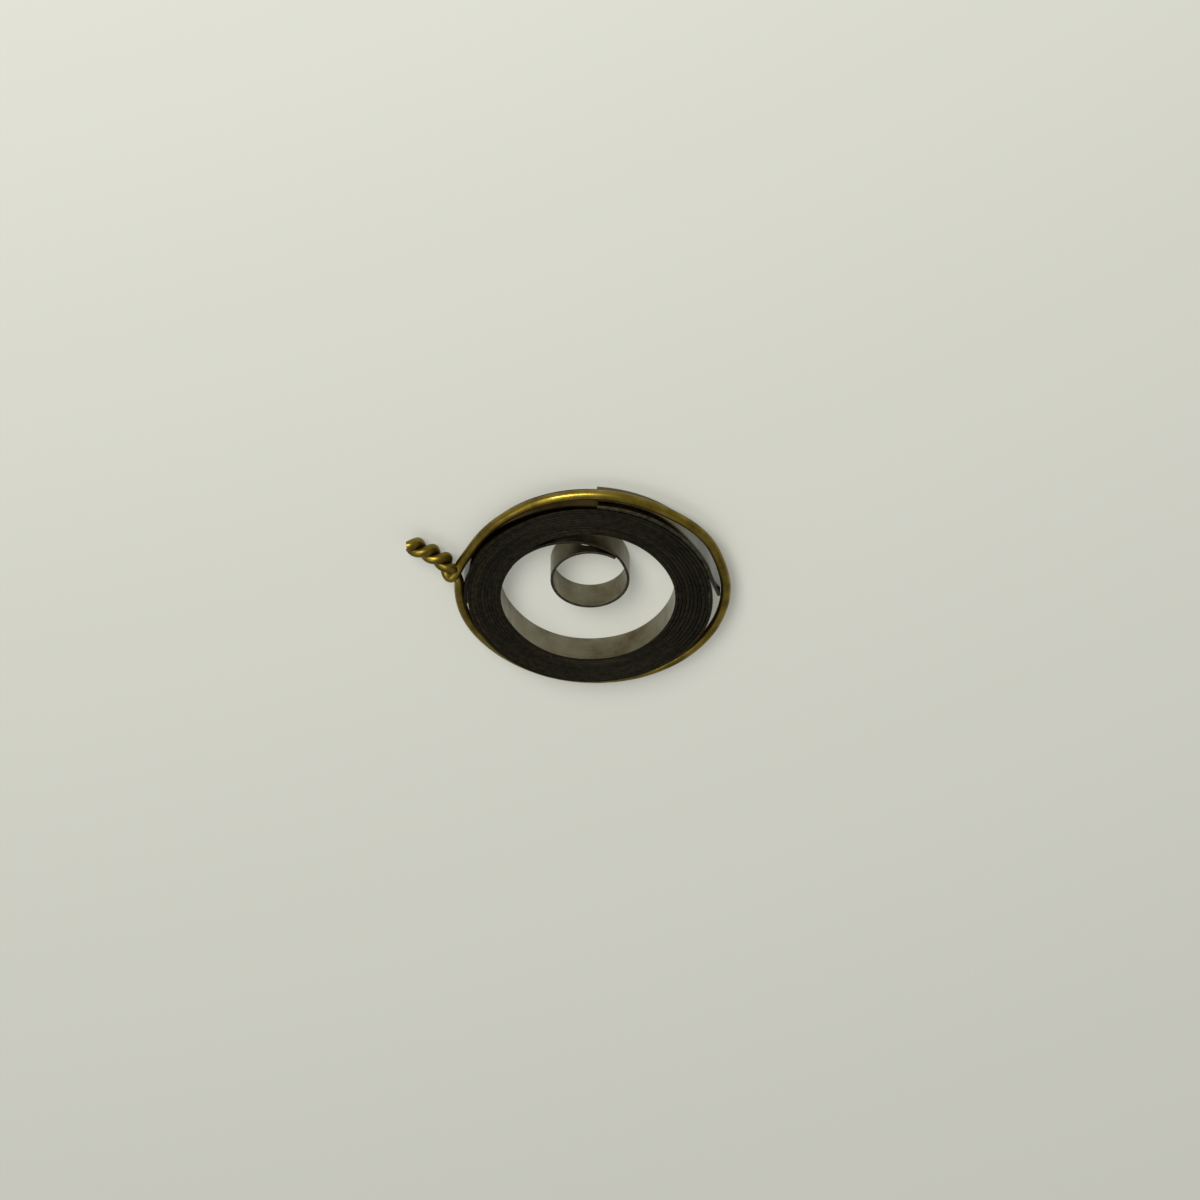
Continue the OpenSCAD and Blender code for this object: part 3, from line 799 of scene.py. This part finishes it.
wireRing = tubePiece("brassWire", wirePath(), wire["diameter"] / 2, 28, agedBrass())
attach(wireRing, "wire")
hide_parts("retaining_wire")
print("wire made:", len(wireRing.data.polygons), "faces")


camera = {
    "elevation": 44.8,        # above the plane of the coil
    "distance": 700,
    "pixelsPerMm": 14.53,     # at the coil's upper face
    "framePixels": 1200,
    "packAt": (588, 597.3),   # pixel of the pack's axis on the upper face
}


def makeCamera():
    # the picture's right is +X and its up is +Y with -Z, so the view is turned half round
    lift = math.radians(camera["elevation"])
    back = Vector((0, math.cos(lift), math.sin(lift)))
    right, up = Vector((1, 0, 0)), Vector((0, math.sin(lift), -math.cos(lift)))
    centre = camera["framePixels"] / 2
    perMm = camera["pixelsPerMm"]
    aim = Vector((packCentre[0] * mm, packCentre[1] * mm, width * mm))
    aim += right * (centre - camera["packAt"][0]) / perMm * mm
    aim += up * (camera["packAt"][1] - centre) / perMm * mm
    data = bpy.data.cameras.new("camera")
    data.sensor_width = 36
    data.lens = data.sensor_width * camera["distance"] * perMm / camera["framePixels"]
    data.clip_start, data.clip_end = 0.01, 10
    holder = bpy.data.objects.new("camera", data)
    turn = Matrix((right, up, back)).transposed().to_4x4()
    holder.matrix_world = Matrix.Translation(aim + back * camera["distance"] * mm) @ turn
    scene.collection.objects.link(holder)
    scene.camera = holder


room = {
    "floorSize": 900,
    "floorColour": "#d1d1c6",
    "floorGlow": 0.3,         # share of its own light in what is seen of the floor
    "backgroundColour": "#d4d5c9",
    "skyStrength": 0.37,
    "keyPlace": (-90, 260, 190), "keySize": 150, "keyPower": 1.0,
    "fillPlace": (-160, 60, 300), "fillSize": 220, "fillPower": 0.2,
}


def areaLight(name, place, size, power):
    data = bpy.data.lights.new(name, "AREA")
    data.shape, data.size, data.energy = "DISK", size * mm, power
    holder = bpy.data.objects.new(name, data)
    spot = Vector(place) * mm
    holder.matrix_world = Matrix.Translation(spot) @ spot.to_track_quat("Z", "Y").to_matrix().to_4x4()
    holder.visible_camera = False
    scene.collection.objects.link(holder)


def makeRoom():
    half = room["floorSize"] / 2 * mm
    mesh = bpy.data.meshes.new("floor")
    mesh.from_pydata([(-half, -half, 0), (half, -half, 0), (half, half, 0), (-half, half, 0)], [],
                     [(0, 1, 2, 3)])
    floor = bpy.data.objects.new("floor", mesh)
    scene.collection.objects.link(floor)
    material, tree = newMaterial("paleMattTable")
    shader = addNode(tree, "BsdfPrincipled", {"Base Color": hexColour(room["floorColour"]),
                                              "Roughness": 0.8, "Specular IOR Level": 0.2})
    # a translucent table: part of what the camera and the metal see of it is its own light
    ray = addNode(tree, "LightPath")
    seen = addNode(tree, "Math", {"operation": "MAXIMUM"},
                   {0: ray.outputs["Is Camera Ray"], 1: ray.outputs["Is Glossy Ray"]})
    share = addNode(tree, "Math", {"operation": "MULTIPLY", 1: room["floorGlow"]},
                    {0: seen.outputs[0]})
    glow = addNode(tree, "Emission", {"Color": hexColour(room["backgroundColour"]), "Strength": 1})
    both = addNode(tree, "MixShader", None, {0: share.outputs[0], 1: shader.outputs["BSDF"],
                                             2: glow.outputs[0]})
    addNode(tree, "OutputMaterial", None, {"Surface": both.outputs[0]})
    mesh.materials.append(material)
    world = bpy.data.worlds.new("studio")
    world.use_nodes = True
    tree = world.node_tree
    tree.nodes.clear()
    ray = addNode(tree, "LightPath")
    seen = addNode(tree, "Math", {"operation": "MAXIMUM"},
                   {0: ray.outputs["Is Camera Ray"], 1: ray.outputs["Is Transmission Ray"]})
    sky = addNode(tree, "Background", {"Color": (1, 1, 1, 1), "Strength": room["skyStrength"]})
    backdrop = addNode(tree, "Background", {"Color": hexColour(room["backgroundColour"]),
                                            "Strength": 1})
    both = addNode(tree, "MixShader", None, {0: seen.outputs[0], 1: sky.outputs[0],
                                             2: backdrop.outputs[0]})
    addNode(tree, "OutputWorld", None, {"Surface": both.outputs[0]})
    scene.world = world
    areaLight("keyLight", room["keyPlace"], room["keySize"], room["keyPower"])
    areaLight("fillLight", room["fillPlace"], room["fillSize"], room["fillPower"])


makeCamera()
makeRoom()
print("camera and room made")
